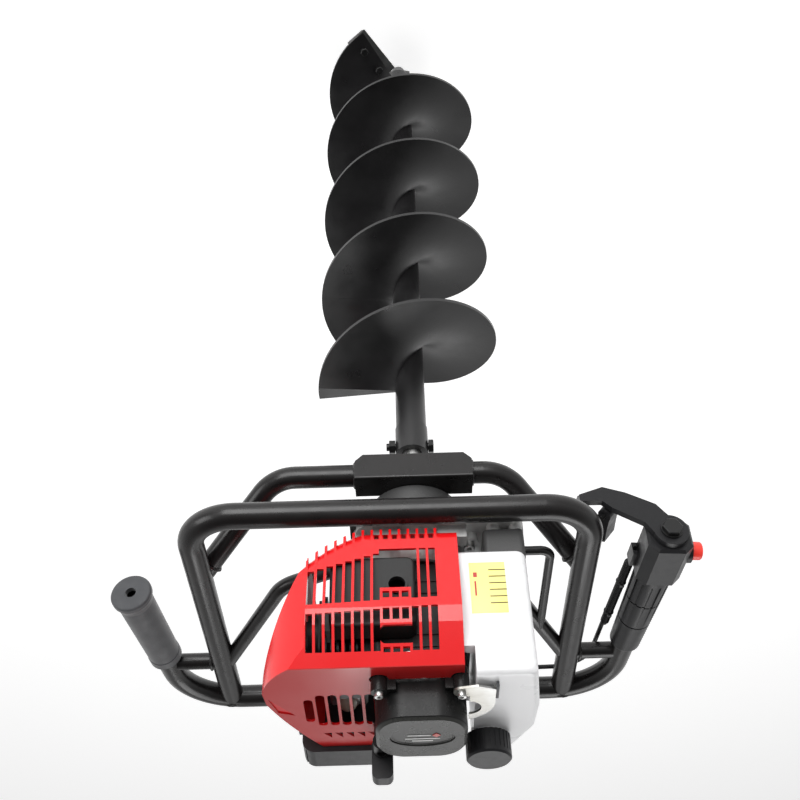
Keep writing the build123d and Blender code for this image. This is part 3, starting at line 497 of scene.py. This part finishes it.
def bead_ring(name, centre, direction, radius, thickness, material):
    """A lumpy weld bead round a tube, made from a ring whose surface is displaced."""
    add("torus", major_radius=radius, minor_radius=thickness, major_segments=96, minor_segments=12,
        location=centre, rotation=axis_turn(direction))
    apply_place()
    ripple = bpy.data.textures.get("bead ripple") or bpy.data.textures.new("bead ripple", "CLOUDS")
    ripple.noise_scale = 0.0022
    modifier("DISPLACE", texture=ripple, strength=0.0011, mid_level=0.5)
    return placed(name, material)


# ---------------------------------------------------------------- places worked out from the frame
def low(node):
    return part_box(node)[0]


def high(node):
    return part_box(node)[1]


def middle(node):
    return (low(node) + high(node)) / 2


def bar_level():
    return middle("front_loop").z


def tube_radius():
    return (high("front_loop").z - low("front_loop").z) / 2


def throttle_axis():
    """The throttle grip's middle, the way it runs, and the way the stop button presses."""
    joint = next(j for j in frame["record"]["behaviour"]["joints"] if j["name"] == "stop_press")
    inward = Vector(joint["axis"])
    along = inward.cross(Vector((0.0, 0.0, 1.0))).normalized()
    return middle("throttle_grip"), along, inward


def beside_grip(along_by, inward_by, up_by):
    grip, along, inward = throttle_axis()
    return grip + along * along_by + inward * inward_by + Vector((0.0, 0.0, up_by))


# ---------------------------------------------------------------- operators
class FinishFrame(bpy.types.Operator):
    """Paints the tubes, the guard and the plates"""
    bl_idname = "auger.finish_frame"
    bl_label = "Frame"

    def execute(self, context):
        coat = frame_paint()
        for node in ("front_loop", "handlebar", "pad_bar", "frame_struts", "tank_stay", "mount_plate",
                     "guard_plate"):
            paint(node, coat)
        return {"FINISHED"}


class FinishBit(bpy.types.Operator):
    """Paints the flight and its tube, and finishes the blade and the point"""
    bl_idname = "auger.finish_bit"
    bl_label = "Bit"

    def execute(self, context):
        coat = bit_paint()
        for node in ("flighting", "bit_tube", "bit_coupler"):
            paint(node, coat)
        steel = tool_steel()
        for node in ("cutter_blade", "pilot_point"):
            paint(node, steel)
        return {"FINISHED"}


class FinishMetal(bpy.types.Operator):
    """Finishes castings, gears, bearings and fasteners"""
    bl_idname = "auger.finish_metal"
    bl_label = "Castings and steel"

    def execute(self, context):
        groups = (
            (bright_steel(), ("case_bolts", "recoil_screws", "output_shaft", "gearbox_bearings",
                              "crank_bearings", "crankshaft")),
            (black_steel(), ("blade_bolts", "coupler_bolt", "guard_bolt_and_pin")),
            (gear_steel(), ("output_gear", "layshaft", "layshaft_gear", "input_pinion", "clutch_drum",
                            "clutch_shoes", "connecting_rod")),
            (zinc_plate(), ("tank_bracket",)),
            (cast_alloy(), ("gearbox_cover", "clutch_housing", "flywheel", "piston", "carburettor")),
            # Painted shade: the crankcase and cylinder are near black for the dark inside the cover.
            (painted_shade_engine(), ("crankcase", "cylinder")),
            (dark_casting(), ("tank_cradle", "gearbox_case")),
            (exhaust_paint(), ("muffler",)),
            (porcelain(), ("spark_plug",)),
        )
        for material, nodes in groups:
            for node in nodes:
                paint(node, material)
        return {"FINISHED"}


class FinishPlastic(bpy.types.Operator):
    """Finishes the covers, tank, grips and controls"""
    bl_idname = "auger.finish_plastic"
    bl_label = "Plastic and rubber"

    def execute(self, context):
        groups = (
            (black_plastic(), ("throttle_grip", "throttle_head", "trigger_guard", "throttle_trigger",
                               "throttle_cable", "intake_spacer", "air_filter_box", "fuel_cap",
                               "starter_handle", "ignition_coil", "choke_lever", "recoil_pulley")),
            (rubber(), ("left_grip", "shaft_seal", "plug_cap")),
            (starter_plastic(), ("recoil_housing",)),
            (cover_plastic(), ("engine_shroud",)),
            (button_plastic(), ("stop_button",)),
            (tank_plastic(), ("fuel_tank",)),
        )
        for material, nodes in groups:
            for node in nodes:
                paint(node, material)
        return {"FINISHED"}


class AddWelds(bpy.types.Operator):
    """Adds the beads round the tube joints"""
    bl_idname = "auger.add_welds"
    bl_label = "Tube welds"

    def execute(self, context):
        metal = weld_metal()
        bead = sizes().bead
        level = bar_level()
        r = tube_radius()
        left = high("front_loop").x - r
        right = low("front_loop").x + r
        rear = high("front_loop").y
        for side, leg, out in (("left", left, 1.0), ("right", right, -1.0)):
            bead_ring(f"weld_leg_{side}", (leg, rear - 1.5 * MM, level), (0, 1, 0), r, bead, metal)
            brace = (leg + out * (r - 0.4 * MM), BRACE_Y, level)
            bead_ring(f"weld_brace_in_{side}", brace, (1, 0, 0), 9.2 * MM, bead, metal)
            pad_in = Vector((-out * PAD_BAR_RUN.x, -PAD_BAR_RUN.y, -PAD_BAR_RUN.z)).normalized()
            start = Vector((leg - out * PAD_BAR_START.x, PAD_BAR_START.y, level - PAD_BAR_START.z))
            bead_ring(f"weld_pad_{side}", start + pad_in * 13.5 * MM, pad_in, 11.3 * MM, bead, metal)
        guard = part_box("guard_plate")
        guard_z = guard[1].z - 14 * MM
        for side, x in (("left", guard[1].x), ("right", guard[0].x)):
            bead_ring(f"weld_guard_{side}", (x, GUARD_BAR_Y, guard_z), (1, 0, 0), 11.5 * MM, bead, metal)
        return {"FINISHED"}


class AddRootWeld(bpy.types.Operator):
    """Adds the bead that joins the flight to its tube, wound with a screw modifier"""
    bl_idname = "auger.add_root_weld"
    bl_label = "Flight's root weld"

    def execute(self, context):
        tube = (high("bit_tube").x - low("bit_tube").x) / 2
        top = high("flighting").z - 2 * MM
        add("circle", vertices=10, radius=sizes().root_bead,
            location=(tube, 0.0, top - FLIGHT_TURNS * FLIGHT_PITCH), rotation=(QUARTER, 0.0, 0.0))
        apply_place()
        modifier("SCREW", angle=2 * math.pi, screw_offset=FLIGHT_PITCH, iterations=FLIGHT_TURNS, steps=72,
                 render_steps=72, use_merge_vertices=False, use_normal_calculate=True)
        # weld the seam and close the two ends
        bpy.ops.object.mode_set(mode="EDIT")
        bpy.ops.mesh.select_all(action="SELECT")
        bpy.ops.mesh.remove_doubles(threshold=1e-6)
        bpy.ops.mesh.select_all(action="DESELECT")
        bpy.ops.mesh.select_non_manifold()
        bpy.ops.mesh.edge_face_add()
        bpy.ops.mesh.select_all(action="SELECT")
        bpy.ops.mesh.normals_make_consistent(inside=False)
        bpy.ops.object.mode_set(mode="OBJECT")
        placed("flight_root_weld", bit_paint(), "bit", 60.0)
        return {"FINISHED"}


class AddLoom(bpy.types.Operator):
    """Adds the corrugated sleeve over the throttle cable, and its ties"""
    bl_idname = "auger.add_loom"
    bl_label = "Cable sleeve"

    def execute(self, context):
        black = black_plastic()
        start = beside_grip(60 * MM, 23.9 * MM, -12.2 * MM)
        end = beside_grip(-62 * MM, 23.5 * MM, -15.8 * MM)
        run = end - start
        along = axis_turn(run)
        pitch = 2.4 * MM
        radius = sizes().loom
        add("torus", major_radius=radius - 0.8 * MM, minor_radius=0.95 * MM, major_segments=28,
            minor_segments=8, location=(0, 0, 0))
        modifier("ARRAY", count=int(run.length / pitch), use_relative_offset=False, use_constant_offset=True,
                 constant_offset_displace=(0.0, 0.0, pitch))
        bpy.context.object.location = start
        bpy.context.object.rotation_euler = along
        placed("cable_loom", black)
        add("cylinder", vertices=28, radius=radius - 1.1 * MM, depth=run.length, location=(start + end) / 2,
            rotation=along)
        placed("loom_core", black)
        for k, share in enumerate((0.30, 0.80), 1):
            centre = start.lerp(end, share)
            add("torus", major_radius=radius + 0.2 * MM, minor_radius=0.7 * MM, major_segments=36,
                minor_segments=8, location=centre, rotation=along)
            placed(f"cable_tie_{k}", black)
            above = centre + Vector((0, 0, radius + 0.9 * MM))
            bevelled_block(above, (4.4 * MM, 3.4 * MM, 3.6 * MM), 0.5 * MM, 2, along)
            placed(f"tie_head_{k}", black)
        return {"FINISHED"}


class AddLabel(bpy.types.Operator):
    """Adds the tank's printed label, with plain strokes for words"""
    bl_idname = "auger.add_label"
    bl_label = "Tank label"

    def execute(self, context):
        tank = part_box("fuel_tank")
        centre = Vector((-62 * MM, tank[0].y - 0.05 * MM, 941 * MM))
        bevelled_block(centre, (sizes().label_width, 0.5 * MM, sizes().label_height), 0.2 * MM, 2)
        placed("tank_label", label_print())
        ink = badge_ink()
        for k, (x, z, width, height) in enumerate(((11, -13, 3.4, 5.0), (11.2, 1, 1.6, 15.0)), 1):
            place = centre + Vector((x * MM, -0.25 * MM, z * MM))
            bevelled_block(place, (width * MM, 0.15 * MM, height * MM), 0.05 * MM, 1)
            placed(f"label_mark_{k}", ink)
        return {"FINISHED"}


class AddBuckle(bpy.types.Operator):
    """Adds the rubber pad that the tank's bracket hooks into"""
    bl_idname = "auger.add_buckle"
    bl_label = "Bracket pad"

    def execute(self, context):
        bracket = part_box("tank_bracket")
        shoulder = high("fuel_tank").z - 9 * MM
        centre = (bracket[0].x - 1.4 * MM, bracket[0].y + 12 * MM, shoulder + 2.6 * MM)
        bevelled_block(centre, (2.6 * MM, 22 * MM, 5.2 * MM), 0.8 * MM, 3)
        placed("bracket_pad", rubber())
        return {"FINISHED"}


class AddBadge(bpy.types.Operator):
    """Adds a plain oval badge in the starter's recess"""
    bl_idname = "auger.add_badge"
    bl_label = "Starter badge"

    def execute(self, context):
        centre = Vector((0.0, 4 * MM, high("recoil_housing").z - 1.6 * MM))
        add("torus", major_radius=1.0, minor_radius=0.04, major_segments=96, minor_segments=10,
            location=centre)
        bpy.context.object.scale = (27.0 * MM, 14.5 * MM, 12.0 * MM)
        placed("badge_rim", starter_plastic())
        add("cylinder", vertices=4, radius=3.6 * MM, depth=0.7 * MM,
            location=centre + Vector((-12 * MM, -3 * MM, 0.3 * MM)))
        placed("badge_mark", badge_ink())
        pale = pale_ink()
        for k, (x, y, width) in enumerate(((3, -3, 20), (0, 3, 30), (0, 7, 18)), 1):
            bevelled_block(centre + Vector((x * MM, y * MM, 0.3 * MM)), (width * MM, 1.5 * MM, 0.6 * MM),
                           0.2 * MM, 2)
            placed(f"badge_line_{k}", pale)
        return {"FINISHED"}


class AddRope(bpy.types.Operator):
    """Adds a short piece of starter rope at the handle"""
    bl_idname = "auger.add_rope"
    bl_label = "Starter rope"

    def execute(self, context):
        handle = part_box("starter_handle")
        x = (handle[0].x + handle[1].x) / 2
        start = Vector((x, handle[0].y - 8 * MM, ROPE_Z))
        end = Vector((x, handle[0].y + 6 * MM, ROPE_Z))
        add("cylinder", vertices=20, radius=sizes().rope, depth=(end - start).length,
            location=(start + end) / 2, rotation=(QUARTER, 0.0, 0.0))
        rope = placed("starter_rope", rope_cord(), None)
        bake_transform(rope)
        return {"FINISHED"}


class AddBulb(bpy.types.Operator):
    """Adds the primer bulb on the carburettor"""
    bl_idname = "auger.add_bulb"
    bl_label = "Primer bulb"

    def execute(self, context):
        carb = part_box("carburettor")
        add("uv_sphere", segments=40, ring_count=20, radius=9 * MM, location=(68 * MM, 68 * MM, carb[1].z))
        placed("primer_bulb", bulb_plastic())
        return {"FINISHED"}


class SetStage(bpy.types.Operator):
    """Lays the floor, and sets the lights and the camera"""
    bl_idname = "auger.set_stage"
    bl_label = "Stage"

    def execute(self, context):
        add("plane", size=14.0, location=(0.0, 2.0, low("pilot_point").z - 0.5 * MM))
        floor = bpy.context.object
        floor.name = "floor"
        f = Finish("pale floor", (0.95, 0.95, 0.95), 0.9)
        f.set("Specular IOR Level", 0.0)
        f.set("Emission Color", (1.0, 1.0, 1.0, 1.0)).set("Emission Strength", 0.42)
        floor.data.materials.append(f.material)
        world = bpy.data.worlds.new("studio")
        world.use_nodes = True
        sky = world.node_tree
        place = sky.nodes.new("ShaderNodeTexCoord")
        split = sky.nodes.new("ShaderNodeSeparateXYZ")
        fade = sky.nodes.new("ShaderNodeMapRange")
        # bright at the horizon and dim overhead
        for socket, value in (("From Min", 0.05), ("From Max", 0.95), ("To Min", 0.95), ("To Max", 0.10)):
            fade.inputs[socket].default_value = value
        sky.links.new(place.outputs["Generated"], split.inputs["Vector"])
        sky.links.new(split.outputs["Z"], fade.inputs["Value"])
        sky.links.new(fade.outputs["Result"], sky.nodes["Background"].inputs["Strength"])
        sky.nodes["Background"].inputs["Color"].default_value = (1.0, 1.0, 1.0, 1.0)
        context.scene.world = world
        context.scene.view_settings.view_transform = "Standard"
        engine = middle("engine_shroud")
        for name, place, size, power in SOFTBOXES:
            data = bpy.data.lights.new(name, "AREA")
            data.size = size
            data.energy = power
            light = bpy.data.objects.new(name, data)
            context.collection.objects.link(light)
            light.location = place
            light.rotation_euler = (engine - Vector(place)).to_track_quat("-Z", "Y").to_euler()
        lens = bpy.data.cameras.new("camera")
        lens.lens = 50.0
        lens.sensor_width = 36.0
        camera = bpy.data.objects.new("camera", lens)
        context.collection.objects.link(camera)
        back = CAMERA_RIGHT.cross(CAMERA_UP)
        turn = Matrix((CAMERA_RIGHT, CAMERA_UP, back)).transposed().to_4x4()
        camera.matrix_world = Matrix.Translation(CAMERA_PLACE) @ turn
        context.scene.camera = camera
        return {"FINISHED"}


STEPS = (FinishFrame, FinishBit, FinishMetal, FinishPlastic, AddWelds, AddRootWeld, AddLoom, AddLabel,
         AddBuckle, AddBadge, AddRope, AddBulb, SetStage)


class AugerPanel(bpy.types.Panel):
    """Lists the auger's steps and sizes"""
    bl_idname = "VIEW3D_PT_auger"
    bl_label = "Ice Fishing Auger"
    bl_space_type = "VIEW_3D"
    bl_region_type = "UI"
    bl_category = "Auger"

    def draw(self, context):
        for step in STEPS:
            self.layout.operator(step.bl_idname)
        for group in (context.scene.auger_sizes, context.scene.auger_colours):
            for name in group.__annotations__:
                self.layout.prop(group, name)


CLASSES = (AugerColours, AugerSizes) + STEPS + (AugerPanel,)


def register():
    for cls in CLASSES:
        bpy.utils.register_class(cls)
    bpy.types.Scene.auger_colours = bpy.props.PointerProperty(type=AugerColours)
    bpy.types.Scene.auger_sizes = bpy.props.PointerProperty(type=AugerSizes)


def unregister():
    del bpy.types.Scene.auger_sizes
    del bpy.types.Scene.auger_colours
    for cls in reversed(CLASSES):
        bpy.utils.unregister_class(cls)


def main():
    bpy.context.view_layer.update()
    register()
    for step in STEPS:
        namespace, name = step.bl_idname.split(".")
        getattr(getattr(bpy.ops, namespace), name)()


if __name__ == "__main__":
    main()
